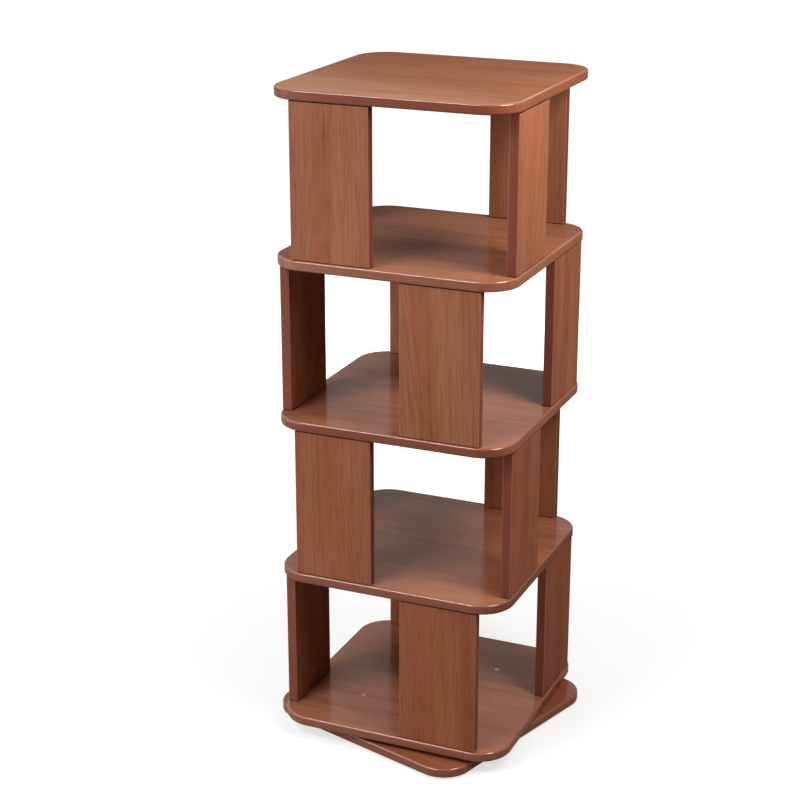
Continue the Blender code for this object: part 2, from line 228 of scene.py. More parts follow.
def rounded_outline(width, depth, corner, steps):
    """Outline round a rectangle with round corners: four quarter circles of radius corner, each with
    a point on the straight side FLAT_MARGIN before and after it. Gives the points and their outward
    directions, so that the outline moved in by d is points - d * directions."""
    angle = np.arange(4)[:, None] * np.pi / 2 + np.linspace(0.0, np.pi / 2, steps + 1)
    outward = np.stack([np.cos(angle), np.sin(angle)], axis=-1)
    onward = np.stack([-np.sin(angle), np.cos(angle)], axis=-1) * FLAT_MARGIN
    sign = np.array([[1, 1], [-1, 1], [-1, -1], [1, -1]])
    arc = (sign * [width / 2 - corner, depth / 2 - corner])[:, None] + corner * outward
    points = np.concatenate([arc[:, :1] - onward[:, :1], arc, arc[:, -1:] + onward[:, -1:]], axis=1)
    outward = np.concatenate([outward[:, :1], outward, outward[:, -1:]], axis=1)
    return points.reshape(-1, 2), outward.reshape(-1, 2)


def routed_board(side, corner, low, high, stain):
    """A rounded square board as a grid: the outline is carried up the routed edge, which is a quarter
    circle of EDGE_ROUND, a straight and another quarter circle. Also gives the marks at each point.
    First comes the share of edge, full on the straight, times how fully the long edges or the ends are
    stained, where a paler share also stands in for light and sheen on that edge. Then comes the share of
    arris on the two bends, which gets a painted highlight and more gloss, and last a painted shade along
    the lower bend, which goes below zero on the bare underside."""
    points, outward = rounded_outline(side, side, corner, CORNER_STEPS)
    turn = np.linspace(0.0, np.pi / 2, 9)
    rise = EDGE_ROUND * (1 - np.cos(turn))
    inset = np.concatenate([[EDGE_ROUND + FLAT_MARGIN], EDGE_ROUND * (1 - np.sin(turn))])
    inset = np.concatenate([inset, inset[::-1]])
    height = np.concatenate([[low], low + rise, high - rise[::-1], [high]])
    flat = points - inset[:, None, None] * outward
    edge = np.clip(STAIN_OVERLAP * (1 - inset / EDGE_ROUND), 0.0, 1.0)[:, None]
    edge = edge * (outward ** 2 @ stain[::-1])
    # The bends get a painted highlight and more gloss, the lower bend less
    bend = np.concatenate([[0.0], LOWER_ARRIS_HIGHLIGHT * np.sin(2.0 * turn), np.sin(2.0 * turn), [0.0]])
    bend = np.clip(bend, 0.0, 1.0)[:, None] + 0.0 * edge
    # Painted shade along the lower bend of the edge
    painted_lower_shade = LOWER_EDGE_PAINTED_SHADE * np.sin(turn) ** 2 * np.sqrt(np.clip(np.cos(turn), 0.0, 1.0))
    under = np.concatenate([[-1.0], painted_lower_shade - (1 - np.sin(turn)) ** 2, 0.0 * turn, [0.0]])
    rows = np.concatenate([flat, (height[:, None] + 0.0 * edge)[:, :, None]], axis=-1)
    edge_and_painted_light = np.stack([edge, bend, under[:, None] + 0.0 * edge], axis=-1)
    return rows, edge_and_painted_light


def set_grain(piece, log, edge_and_painted_light, red):
    """Keeps with the mesh where each point lies in the log, in metres along, across and into it, and
    its marks: how far it belongs to the edge, to an arris with a painted highlight, and to painted
    shade where parts meet or along an edge, below zero for a bare underside. Red is how much redder
    than the middle the sheet of veneer is that the piece was cut from."""
    for name, values in (("grain", log), ("edge_and_painted_light", edge_and_painted_light)):
        kept = piece.data.attributes.new(name, "FLOAT_VECTOR", "POINT")
        kept.data.foreach_set("vector", np.asarray(values, np.float32).ravel())
    kept = piece.data.attributes.new("red", "FLOAT", "POINT")
    kept.data.foreach_set("value", np.full(len(piece.data.vertices), red, np.float32))


def calculated(tree, operation, *values, clamp=False):
    """The result of a sum with those values."""
    inputs = dict(enumerate(values))
    return add_node(tree, "ShaderNodeMath", inputs, operation=operation, use_clamp=clamp).outputs[0]


def new_group(name, inputs, outputs):
    """A shader group with those sockets: its tree, and the sockets that bring its inputs."""
    tree = bpy.data.node_groups.new(name, "ShaderNodeTree")
    for way, sockets in (("INPUT", inputs), ("OUTPUT", outputs)):
        for socket, kind in sockets.items():
            tree.interface.new_socket(name=socket, in_out=way, socket_type=f"NodeSocket{kind}")
    return tree, tree.nodes.new("NodeGroupInput").outputs


def veneer_group():
    """Stained veneer. Growth rings are distances from the heart of a log that leans away from the
    board, so that a flat cut shows nested arches. Fibres, streaks and pores are noise drawn out along
    the grain. The marks blend to the plain colour of an edge's stain with faint lines along it, paint a
    pale highlight on an arris, and paint dark shade where parts meet and along a board's lower edge.
    The gloss is lower on edges and pores, higher on an arris, and almost gone on a bare underside."""
    inputs = {
        "Grain": "Vector", "Edge And Painted Light": "Vector", "Red": "Float",
        "Edge Lines": "Vector", "Lean": "Float", "Ring Width": "Float",
        "Early Wood": "Color", "Red Wood": "Color", "Late Wood": "Color",
        "Edge Stain": "Color", "Arris Painted Highlight": "Color", "Painted Shade Dark": "Color",
        "Satin": "Float", "Lacquer": "Float",
    }
    outputs = {"Color": "Color", "Roughness": "Float", "Gloss": "Float", "Height": "Float"}
    tree, given = new_group("stained_veneer", inputs, outputs)
    sums = partial(calculated, tree)
    colours = partial(mixed, tree)

    def vectors(operation, *values):
        """A vector sum with those values."""
        return add_node(tree, "ShaderNodeVectorMath", dict(enumerate(values)), operation=operation)

    def drawn(stretch, detail, output="Fac", source=given["Grain"]):
        """Noise with so many waves to the metre along, across and into the log."""
        waves = {"Vector": vectors("MULTIPLY", source, stretch).outputs[0], "Scale": 1.0, "Detail": detail}
        return add_node(tree, "ShaderNodeTexNoise", waves).outputs[output]

    def past(value, low, high):
        """0 up to low and 1 from high on, with a smooth step between them."""
        return ranged(tree, value, (0.0, 1.0), (low, high), "SMOOTHSTEP")

    wander = vectors("SUBTRACT", drawn((2.4, 12.0, 12.0), 2.0, "Color"), (0.5, 0.5, 0.5)).outputs[0]
    wander = vectors("MULTIPLY", wander, (0.0, 0.030, 0.022)).outputs[0]
    bent = vectors("ADD", given["Grain"], wander).outputs[0]
    bent = add_node(tree, "ShaderNodeSeparateXYZ", {0: bent}).outputs
    heart = sums("ADD", bent["Z"], sums("MULTIPLY", bent["X"], given["Lean"]))
    section = add_node(tree, "ShaderNodeCombineXYZ", {"X": bent["Y"], "Y": heart}).outputs[0]
    year = sums("DIVIDE", vectors("LENGTH", section).outputs["Value"], given["Ring Width"])
    season = sums("FRACT", year)
    age = add_node(tree, "ShaderNodeTexWhiteNoise", {"W": sums("FLOOR", year)}, noise_dimensions="1D")
    late = sums("MULTIPLY", past(season, 0.25, 0.9), sums("SUBTRACT", 1.0, past(season, 0.9, 1.0)))
    late = sums("MULTIPLY", late, sums("MULTIPLY_ADD", age.outputs["Value"], 0.75, 0.25))

    long = drawn((4.0, 300.0, 300.0), 3.0)
    short = drawn((20.0, 420.0, 420.0), 3.0)
    fibre = sums("SUBTRACT", sums("MULTIPLY_ADD", short, 0.55, sums("MULTIPLY", long, 0.45)), 0.5)
    streak = past(drawn((11.0, 170.0, 170.0), 3.0), 0.54, 0.74)
    cloud = sums("SUBTRACT", drawn((1.6, 30.0, 30.0), 2.0), 0.5)
    drift = sums("SUBTRACT", drawn((5.0, 7.0, 7.0), 1.0), 0.5)
    pore = past(drawn((60.0, 1300.0, 1300.0), 1.0), 0.60, 0.74)
    apart = vectors("ADD", given["Grain"], (3.0, 5.0, 7.0)).outputs[0]
    blush = past(drawn((1.6, 18.0, 9.0), 2.0, source=apart), 0.30, 0.70)
    blush = sums("ADD", blush, given["Red"], clamp=True)

    dark = 0.15
    for figure, share in ((late, 0.12), (fibre, 1.35), (streak, 0.14), (cloud, 0.50), (drift, 0.35)):
        dark = sums("MULTIPLY_ADD", figure, share, dark)
    face = colours(blush, given["Early Wood"], given["Red Wood"])
    face = colours(dark, face, given["Late Wood"])
    face = colours(sums("MULTIPLY", pore, 0.30), face, given["Late Wood"])
    lines = drawn(given["Edge Lines"], 3.0)
    edge = colours(sums("MULTIPLY", lines, 0.45), given["Edge Stain"], given["Late Wood"])
    edge_and_painted_light = add_node(tree, "ShaderNodeSeparateXYZ", {0: given["Edge And Painted Light"]}).outputs
    stained = colours(edge_and_painted_light["X"], face, edge)
    # Painted highlight along an arris
    arris_highlight = sums("MULTIPLY", edge_and_painted_light["Y"], sums("MULTIPLY_ADD", lines, 0.3, 0.02))
    stained = colours(arris_highlight, stained, given["Arris Painted Highlight"])
    # Painted shade where panels meet boards and along a board's lower edge
    stained = colours(edge_and_painted_light["Z"], stained, given["Painted Shade Dark"])

    rough = sums("MULTIPLY_ADD", fibre, 0.14, given["Satin"])
    rough = sums("MULTIPLY_ADD", pore, 0.10, rough)
    relief = sums("SUBTRACT", sums("MULTIPLY", fibre, 0.5), pore)
    relief = sums("MULTIPLY", relief, sums("SUBTRACT", 1.0, edge_and_painted_light["X"]))
    covered = sums("MINIMUM", 1.0, sums("MULTIPLY", edge_and_painted_light["X"], 2.5))
    gloss = sums("MULTIPLY", given["Lacquer"], sums("SUBTRACT", 1.0, sums("MULTIPLY", covered, 0.3)))
    gloss = sums("MULTIPLY_ADD", edge_and_painted_light["Y"], 0.8, gloss)
    gloss = sums("MULTIPLY", gloss, sums("SUBTRACT", 1.0, sums("MULTIPLY", pore, 0.5)))
    bare = sums("MINIMUM", edge_and_painted_light["Z"], 0.0)
    gloss = sums("MULTIPLY", gloss, sums("MULTIPLY_ADD", bare, 0.85, 1.0))
    results = {"Color": stained, "Roughness": rough, "Gloss": gloss, "Height": relief}
    add_node(tree, "NodeGroupOutput", results)
    return tree


veneer = veneer_group()


def stained_finish(name, cut, lacquer):
    """Lacquered, stained veneer: the veneer group read in the log's coordinates, with the group's
    values for this cut of the log, under a lacquer that has its plain values on the shader."""
    material, tree, shader = new_finish(name)
    values = {
        "Grain": add_node(tree, "ShaderNodeAttribute", attribute_name="grain").outputs["Vector"],
        "Edge And Painted Light": add_node(tree, "ShaderNodeAttribute", attribute_name="edge_and_painted_light").outputs["Vector"],
        "Red": add_node(tree, "ShaderNodeAttribute", attribute_name="red").outputs["Fac"],
        "Early Wood": EARLY_WOOD,
        "Red Wood": RED_WOOD,
        "Late Wood": LATE_WOOD,
        "Arris Painted Highlight": ARRIS_PAINTED_HIGHLIGHT,
        "Painted Shade Dark": PAINTED_SHADE_DARK,
    }
    wood = add_node(tree, "ShaderNodeGroup", {**values, **cut}, node_tree=veneer).outputs
    set_inputs(tree, shader, {
        "Base Color": wood["Color"],
        "Roughness": wood["Roughness"],
        "Coat Weight": wood["Gloss"],
        "Normal": bumped(tree, wood["Height"], 0.12, 0.0004),
        **lacquer,
    })
    return material


BOARD_CUT = {
    "Lean": 0.02,
    "Ring Width": 0.0075,
    "Edge Lines": (9.0, 9.0, 420.0),
    "Edge Stain": EDGE_STAIN,
    "Satin": 0.28,
    "Lacquer": 0.36,
}
BOARD_LACQUER = {"Specular IOR Level": 0.0, "Coat IOR": 1.65, "Coat Roughness": 0.14}
board_wood = stained_finish("stained_board", BOARD_CUT, BOARD_LACQUER)
log_places = np.random.default_rng(7)


def veneered_board(node, body, side, corner, red, stain, turn=0.0):
    """The routed board that stands for a node, with its grain from side to side, turned about the
    upright axis: x and y go to x cos turn - y sin turn and x sin turn + y cos turn."""
    low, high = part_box(node)
    rows, edge_and_painted_light = routed_board(side, corner, low[2], high[2], stain)
    flat = rows.reshape(-1, 3)
    x = flat[:, 0] * math.cos(turn) - flat[:, 1] * math.sin(turn)
    y = flat[:, 0] * math.sin(turn) + flat[:, 1] * math.cos(turn)
    board = skin(f"veneered_{node}", [np.stack([x, y, flat[:, 2]], axis=-1).reshape(rows.shape)])
    start = log_places.uniform(BOARD_LOG_FROM, BOARD_LOG_TO)
    set_grain(board, flat - [0.0, 0.0, low[2]] + start, edge_and_painted_light, red)
    board.data.materials.append(board_wood)
    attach(board, body)
    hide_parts(node)


veneered_board("base_board", "base", BASE_SIDE, BASE_CORNER, BASE_RED, BASE_STAIN_AND_LIGHT, BASE_TURN)


# Turntable: two flat aluminium rings, one inside the other, turned on a lathe with a ball groove between
# them. The inner one is screwed to the base, the outer one to the case. Steel balls run in the groove in
# a nylon cage.
RACE_RADIUS = 0.1275
RING_HALF_GAP = 0.001
RING_WIDTH = 0.025
RING_CHAMFER = 0.0005
RING_STEPS = 160
GROOVE_RADIUS = 0.00235
CAGE_HALF_THICKNESS = 0.0004
CAGE_HALF_HEIGHT = 0.0015
BALL_COUNT = 16
BALL_RADIUS = 0.00175
BALL_POLE = math.radians(84.6)
BALL_STEPS = 20
ALUMINIUM = (0.66, 0.67, 0.68, 1.0)
ALUMINIUM_DULL = (0.50, 0.51, 0.52, 1.0)
STEEL = (0.56, 0.57, 0.58, 1.0)
STEEL_DULL = (0.42, 0.43, 0.44, 1.0)
NYLON = (0.70, 0.67, 0.58, 1.0)
NYLON_AGED = (0.58, 0.55, 0.46, 1.0)


def metal_group():
    """Machined metal: a tone that drifts from bright to dull, and a roughness and a relief with fine
    tool lines."""
    inputs = {"Place": "Vector", "Bright": "Color", "Dull": "Color"}
    outputs = {"Color": "Color", "Roughness": "Float", "Height": "Float"}
    tree, given = new_group("machined_metal", inputs, outputs)
    drift = noise(tree, given["Place"], 60.0, 4.0)
    cut = noise(tree, given["Place"], 2500.0, 2.0)
    tone = mixed(tree, drift, given["Bright"], given["Dull"])
    rough = ranged(tree, calculated(tree, "MULTIPLY", drift, cut), (0.22, 0.55))
    add_node(tree, "NodeGroupOutput", {"Color": tone, "Roughness": rough, "Height": cut})
    return tree


metal = metal_group()


def metal_finish(name, bright, dull, lathe=False):
    """Bare metal from the metal group. On lathe work its coordinates are radius and height, so that
    the tool lines go round."""
    material, tree, shader = new_finish(name)
    place = add_node(tree, "ShaderNodeTexCoord").outputs["Object"]
    if lathe:
        ways = add_node(tree, "ShaderNodeSeparateXYZ", {0: place}).outputs
        flat = add_node(tree, "ShaderNodeCombineXYZ", {"X": ways["X"], "Y": ways["Y"]}).outputs[0]
        radius = add_node(tree, "ShaderNodeVectorMath", {0: flat}, operation="LENGTH").outputs["Value"]
        place = add_node(tree, "ShaderNodeCombineXYZ", {"X": radius, "Y": ways["Z"]}).outputs[0]
    values = {"Place": place, "Bright": bright, "Dull": dull}
    made = add_node(tree, "ShaderNodeGroup", values, node_tree=metal).outputs
    set_inputs(tree, shader, {
        "Base Color": made["Color"],
        "Roughness": made["Roughness"],
        "Normal": bumped(tree, made["Height"], 0.1, 0.0002),
        "Metallic": 1.0,
    })
    return material


aluminium = metal_finish("turned_aluminium", ALUMINIUM, ALUMINIUM_DULL, lathe=True)
steel = metal_finish("polished_steel", STEEL, STEEL_DULL)
nylon, tree, shader = new_finish("nylon")
place = add_node(tree, "ShaderNodeTexCoord").outputs["Object"]
cloud = noise(tree, place, 90.0, 4.0)
set_inputs(tree, shader, {
    "Base Color": mixed(tree, cloud, NYLON, NYLON_AGED),
    "Roughness": ranged(tree, cloud, (0.35, 0.55)),
    "Specular IOR Level": 0.4,
})

low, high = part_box("turntable_ball_cage")
race_height = (low[2] + high[2]) / 2
swing = math.acos(RING_HALF_GAP / GROOVE_RADIUS)
bow = np.linspace(-swing, swing, 13)
for node, body, side in (("turntable_fixed_ring", "base", -1), ("turntable_turning_ring", "case", 1)):
    low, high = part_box(node)
    near = RACE_RADIUS + side * RING_HALF_GAP
    far = near + side * RING_WIDTH
    cut = side * RING_CHAMFER
    reach = RACE_RADIUS + side * GROOVE_RADIUS * np.cos(bow)
    under = [[far - cut, low[2]], [near + cut, low[2]], [near, low[2] + RING_CHAMFER]]
    groove = np.column_stack([reach, race_height + GROOVE_RADIUS * np.sin(bow)])
    over = [[near, high[2] - RING_CHAMFER], [near + cut, high[2]], [far - cut, high[2]]]
    rim = [[far, high[2] - RING_CHAMFER], [far, low[2] + RING_CHAMFER]]
    section = np.vstack([under, groove, over, rim])
    ring = skin(f"lathe_{node}", [turned(section, steps=RING_STEPS)], ring=True)
    ring.data.materials.append(aluminium)
    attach(ring, body)
    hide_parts(node)

turn = np.linspace(0.0, 2.0 * np.pi, 24, endpoint=False)
reach = RACE_RADIUS + CAGE_HALF_THICKNESS * np.cos(turn)
band = np.column_stack([reach, race_height + CAGE_HALF_HEIGHT * np.sin(turn)])
cage = skin("nylon_ball_cage", [turned(band, steps=RING_STEPS)], ring=True)
cage.data.materials.append(nylon)
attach(cage, "ball_cage")
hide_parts("turntable_ball_cage")

turn = np.linspace(-BALL_POLE, BALL_POLE, 11)
ball = np.column_stack([BALL_RADIUS * np.cos(turn), BALL_RADIUS * np.sin(turn)])
seats = turned([[RACE_RADIUS, race_height]], steps=BALL_COUNT)[0]
balls = skin("steel_balls", [turned(ball, seat, BALL_STEPS) for seat in seats])
balls.data.materials.append(steel)
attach(balls, "ball_cage")


# Base screws: four zinc-plated screws with cross recesses that hold the inner ring down on the base
# board. Only their heads show, and only before the case is put on.
SCREW_COUNT = 4
BASE_SCREW_PROUD = 0.0001
HEAD_RADIUS = 0.004
HEAD_RIM = 0.0002
HEAD_DEPTH = 0.0024
SHANK_RADIUS = 0.002
THREAD_START = 0.0032
THREAD_STEPS = 24
POINT_LENGTH = 0.002
# Shares of the head's radius: the thread's root, the point, and the arms and half width of the cross
THREAD_ROOT = 0.36
POINT_SHARE = 0.08
SCREW_CROSS = (0.62, 0.14)
CROSS_DEPTH = 0.0011
# Shares of a cross's arm and width: the walls at its ends and sides, and how far its floor rises outwards
CROSS_END_WALL = 0.08
CROSS_SIDE_WALL = 0.4
CROSS_RISE = 0.45
CROSS_BEND = math.radians(28.0)
ZINC = (0.40, 0.39, 0.38, 1.0)
ZINC_DULL = (0.26, 0.25, 0.24, 1.0)


def cross_head(radius, depth, arm, width):
    """A round head with a cross recess, as a square grid (u, v) mapped to a disc by
    x = u sqrt(1 - v*v/2) and the same for y. Where one of |u| and |v| is inside the width and the
    other inside the arm, the face goes down by depth, and less far out along the arm."""
    rim = np.linspace(-1.0, -arm, 5)
    slot = np.linspace(-arm * (1 - CROSS_END_WALL), -width, 6)
    middle = np.linspace(-width * (1 - CROSS_SIDE_WALL), 0.0, 4)
    step = np.concatenate([rim, slot, middle])
    step = np.concatenate([step, -step[-2::-1]])
    u, v = np.meshgrid(step, step, indexing="ij")
    near = np.minimum(np.abs(u), np.abs(v))
    away = np.maximum(np.abs(u), np.abs(v))
    sides = np.clip((width - near) / (width * CROSS_SIDE_WALL), 0.0, 1.0)
    ends = np.clip((arm - away) / (arm * CROSS_END_WALL), 0.0, 1.0)
    taper = np.clip(1.0 - CROSS_RISE * away / arm, 0.0, 1.0)
    x = radius * u * np.sqrt(1 - v * v / 2)
    y = radius * v * np.sqrt(1 - u * u / 2)
    return np.stack([x, y, -depth * sides * ends * taper], axis=-1)


def headed_pin(name, face, profile, centre, axes):
    """A pin made of a head's face and a body turned from the face's own rim, whose points are scaled
    for each pair of the profile, (share of the rim, height). A point p goes to p @ axes + centre."""
    size = face.shape[0]
    index = np.arange(size * size).reshape(size, size)
    quads = np.stack([index[:-1, :-1], index[1:, :-1], index[1:, 1:], index[:-1, 1:]], axis=-1)
    loop = np.concatenate([index[:-1, 0], index[-1, :-1], index[:0:-1, -1], index[0, :0:-1]])
    rim = face.reshape(-1, 3)[loop]
    share, height = np.asarray(profile, float).T[:, :, None]
    rows = np.stack([share * rim[:, 0], share * rim[:, 1], height + 0.0 * rim[:, 0]], axis=-1)
    below = index.size + np.arange(rows[..., 0].size).reshape(rows.shape[:2])
    below = np.vstack([loop, below])
    points = np.vstack([face.reshape(-1, 3), rows.reshape(-1, 3)]) @ axes + centre
    faces = quads.reshape(-1, 4).tolist() + round_quads(below) + [below[-1].tolist()]
    return closed_piece(name, points, faces, CROSS_BEND)


zinc = metal_finish("zinc_plate", ZINC, ZINC_DULL)


def wood_screw(node, body, proud):
    """The countersunk wood screw that stands for a node: the head's rim, its cone, a shank whose radius
    goes up and down with the thread, and a point."""
    low, high = map(np.array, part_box(node))
    centre = (low + high) / 2
    centre[2] = high[2] + proud
    long = high[2] - low[2]
    shank = SHANK_RADIUS / HEAD_RADIUS
    thread = np.linspace(THREAD_START, long - POINT_LENGTH, THREAD_STEPS)
    ridges = np.where(np.arange(THREAD_STEPS) % 2 == 0, shank, THREAD_ROOT)
    head = [[1.0, -HEAD_RIM], [shank, -HEAD_DEPTH]]
    profile = np.vstack([head, np.column_stack([ridges, -thread]), [[POINT_SHARE, -long]]])
    face = cross_head(HEAD_RADIUS - HEAD_RIM, CROSS_DEPTH, *SCREW_CROSS)
    screw = headed_pin(f"cross_{node}", face, profile, centre, np.eye(3))
    screw.data.materials.append(zinc)
    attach(screw, body)
    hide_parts(node)


for number in range(1, SCREW_COUNT + 1):
    wood_screw(f"base_screw_{number}", "base", BASE_SCREW_PROUD)


# Bottom board: the lowest of five equal rounded squares of veneered 18 mm board. It lies on the outer
# ring, and four countersunk screws go down through it into the ring.
BOARD_SIDE = 0.450
BOARD_CORNER = 0.063
BOTTOM_RED = -0.4
# How fully its long edges and its ends are stained, where a paler share also stands in for light and sheen
BOTTOM_STAIN_AND_LIGHT = (0.5, 0.4)
CASE_SCREW_PROUD = 0.0005

veneered_board("bottom_board", "case", BOARD_SIDE, BOARD_CORNER, BOTTOM_RED, BOTTOM_STAIN_AND_LIGHT)
for number in range(1, SCREW_COUNT + 1):
    wood_screw(f"case_screw_{number}", "case", CASE_SCREW_PROUD)


# Upright panels: sixteen veneered boards, four to a tier, set like the arms of a pinwheel that is
# mirrored from tier to tier. The grain stands upright, the long edges are slightly eased, and dowels and
# a cam hold the ends.
PANEL_WIDTH = 0.148
PANEL_THICKNESS = 0.018
PANEL_EASE = 0.0015
PANEL_EASE_STEPS = 6
PANEL_END_EASE = 0.0010
DOWEL_LENGTH = 0.0103
JOINT_LINE = 0.0016
# How dark the painted shade at the joints is at each height that a panel has points, from its foot to its
# head
JOINT_PAINTED_SHADE = (1.0, 1.0, 1.0, 0.9, 0.0, 0.0, 1.0, 1.0, 1.0, 1.0)
# Where the stain of an edge starts beside its arris, and how strongly an arris shows its painted highlight
# and extra gloss
EDGE_STAIN_START = 0.3
ARRIS_HIGHLIGHT_AND_GLOSS = 2.6
# Where in the log a panel may begin, how deep in it the panel lies, and how far its grain may slope
PANEL_LOG_FROM = (0.0, -0.030, -0.020)
PANEL_LOG_TO = (0.4, 0.030, 0.020)
PANEL_LOG_DEPTH = 0.045
PANEL_SLOPE = 0.07
# The tiers from the bottom up: how red the veneer of each is, and how fully its edges are stained
TIERS = {
    "bottom_tier": (0.30, 0.6),
    "third_tier": (0.20, 1.0),
    "second_tier": (-0.25, 0.8),
    "top_tier": (-0.30, 1.0),
}
SIDES = ("front", "right", "back", "left")
PANEL_EDGE = (0.210, 0.059, 0.044, 1.0)
PANEL_CUT = {
    "Lean": 0.07,
    "Ring Width": 0.0062,
    "Edge Lines": (11.0, 330.0, 330.0),
    "Edge Stain": PANEL_EDGE,
    "Satin": 0.46,
    "Lacquer": 0.06,
}
PANEL_LACQUER = {"Specular IOR Level": 0.0, "Coat Roughness": 0.28}
panel_wood = stained_finish("stained_panel", PANEL_CUT, PANEL_LACQUER)


def upright_panel(node, angle, red, stain):
    """The panel that stands for a node: its section, a rectangle with eased corners, is carried up
    between the dowels with eased ends, and turned by angle about the middle of the node."""
    low, high = map(np.array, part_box(node))
    centre = (low + high) / 2
    points, outward = rounded_outline(PANEL_WIDTH, PANEL_THICKNESS, PANEL_EASE, PANEL_EASE_STEPS)
    turn = np.linspace(0.0, np.pi / 2, 4)
    inset = PANEL_END_EASE * (1 - np.sin(turn))
    inset = np.concatenate([inset, [0.0, 0.0], inset[::-1]])
    rise = DOWEL_LENGTH + np.concatenate([PANEL_END_EASE * (1 - np.cos(turn)), [JOINT_LINE]])
    height = np.concatenate([low[2] + rise, high[2] - rise[::-1]])
    flat = points - inset[:, None, None] * outward
    across = flat[:, :, 0]
    into = flat[:, :, 1]
    x = centre[0] + across * math.cos(angle) - into * math.sin(angle)
    y = centre[1] + across * math.sin(angle) + into * math.cos(angle)
    z = np.broadcast_to(height[:, None], x.shape)
    panel = skin(f"veneered_{node}", [np.stack([x, y, z], axis=-1)])
    start = log_places.uniform(PANEL_LOG_FROM, PANEL_LOG_TO)
    up = log_places.choice([-1.0, 1.0])
    slope = log_places.uniform(-PANEL_SLOPE, PANEL_SLOPE)
    along = up * (z - centre[2])
    log = np.stack([along, across + slope * along, into + PANEL_LOG_DEPTH], axis=-1) + start
    facing = np.abs(outward[:, 0])
    edge = stain * np.clip((1 + EDGE_STAIN_START) * facing - EDGE_STAIN_START, 0.0, 1.0) + 0.0 * x
    # The eased arrises get a painted highlight and more gloss
    arris = np.clip(ARRIS_HIGHLIGHT_AND_GLOSS * facing * np.abs(outward[:, 1]), 0.0, 1.0) + 0.0 * x
    # Painted shade at both ends, where the panel meets the boards
    joint_painted_shade = np.array(JOINT_PAINTED_SHADE)[:, None] + 0.0 * x
    set_grain(panel, log, np.stack([edge, arris, joint_painted_shade], axis=-1), red)
    panel.data.materials.append(panel_wood)
    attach(panel, "case")
    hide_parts(node)


for tier, (red, stain) in TIERS.items():
    for quarter, side in enumerate(SIDES):
        upright_panel(f"{tier}_{side}_panel", quarter * math.pi / 2, red, stain)


# Cam locks: one in a pocket near the lower end of each panel's inner face. A zinc drum with a cross
# recess is turned to grip a bolt that stands in the board below. Only its round face shows, level with
# the veneer.
CAM_RADIUS = 0.0075
CAM_RIM = 0.0004
CAM_DEPTH = 0.012
CAM_LEVEL = 0.034
CAM_PROUD = 0.0002
CAM_CROSS_DEPTH = 0.0024
# Shares of the face's radius: the arms and half width of the cross, the shoulder and the drum's side
CAM_CROSS = (0.66, 0.13)
CAM_SHOULDER = 1.025
CAM_SIDE = 1.05
CAM_PROFILE = (
    (CAM_SHOULDER, -0.0001),
    (CAM_SIDE, -CAM_RIM),
    (CAM_SIDE, CAM_RIM - CAM_DEPTH),
    (1.0, -CAM_DEPTH),
)

for tier in TIERS:
    for quarter, side in enumerate(SIDES):
        node = f"{tier}_{side}_cam_lock"
        low, high = map(np.array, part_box(f"{tier}_{side}_panel"))
        angle = quarter * math.pi / 2
        across = [math.cos(angle), math.sin(angle), 0.0]
        inward = np.array([-math.sin(angle), math.cos(angle), 0.0])
        middle = (low + high) / 2 + (PANEL_THICKNESS / 2 + CAM_PROUD) * inward
        middle[2] = low[2] + DOWEL_LENGTH + CAM_LEVEL
        face = cross_head(CAM_RADIUS - CAM_RIM, CAM_CROSS_DEPTH, *CAM_CROSS)
        axes = np.stack([across, [0.0, 0.0, 1.0], inward])
        cam = headed_pin(f"zinc_{node}", face, CAM_PROFILE, middle, axes)
        cam.data.materials.append(zinc)
        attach(cam, "case")
        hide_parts(node)


# Shelves and top board: the other four rounded squares, like the bottom board. Each one lies on the
# panels of the tier below it, and hides their dowels. SHEETS says how red the veneer of each is, and how
# fully its long edges and its ends are stained; the paler shares also stand in for light and sheen on
# those edges.
SHEETS = {
    "lower_shelf": (-0.4, (0.65, 0.9)),
    "middle_shelf": (-0.4, (1.0, 0.3)),
    "upper_shelf": (-0.5, (0.4, 0.2)),
    "top_board": (-0.9, (1.0, 0.55)),
}

for node, (red, stain) in SHEETS.items():
    veneered_board(node, "case", BOARD_SIDE, BOARD_CORNER, red, stain)


# Studio: a wide white floor that keeps the shadow, and a sky that is dim at the horizon. The key lamp is
# high in front on the left, with fills on the left, on the right and behind, and a lamp near the right
# side. A warm card close behind the top board shines only in the lacquer.
FLOOR_BOUNCE = (0.36, 0.36, 0.36, 1.0)
FLOOR_RADIUS = 40.0
FLOOR_RINGS = 4
FLOOR_STEPS = 96

share = np.linspace(1.0, 1.0 / FLOOR_RINGS, FLOOR_RINGS)
disc = turned(np.column_stack([FLOOR_RADIUS * share, 0.0 * share]), steps=FLOOR_STEPS)
index = np.arange(FLOOR_RINGS * FLOOR_STEPS).reshape(FLOOR_RINGS, FLOOR_STEPS)
mesh = bpy.data.meshes.new("studio_floor")
mesh.from_pydata(disc.reshape(-1, 3).tolist(), [], round_quads(index) + [index[-1].tolist()])
floor = bpy.data.objects.new("studio_floor", mesh)
bpy.context.collection.objects.link(floor)

# The floor is white to the camera and in reflections, where it darkens to the right as if by a flag.
# Near the object it glows less, which paints a soft shade round it as well as its own shadow.
paper, tree, shader = new_finish("white_floor")
tree.nodes.remove(shader)
path = tree.nodes.new("ShaderNodeLightPath").outputs
seen = calculated(tree, "MAXIMUM", path["Is Camera Ray"], path["Is Glossy Ray"])
seen = calculated(tree, "MAXIMUM", seen, path["Is Transmission Ray"])
place = add_node(tree, "ShaderNodeTexCoord").outputs["Object"]
away = add_node(tree, "ShaderNodeVectorMath", {0: place}, operation="LENGTH").outputs["Value"]
right = add_node(tree, "ShaderNodeSeparateXYZ", {0: place}).outputs["X"]
flag = ranged(tree, right, (1.0, 0.1), (-0.3, 0.5))
flag = mixed(tree, path["Is Glossy Ray"], 1.0, flag, "FLOAT")
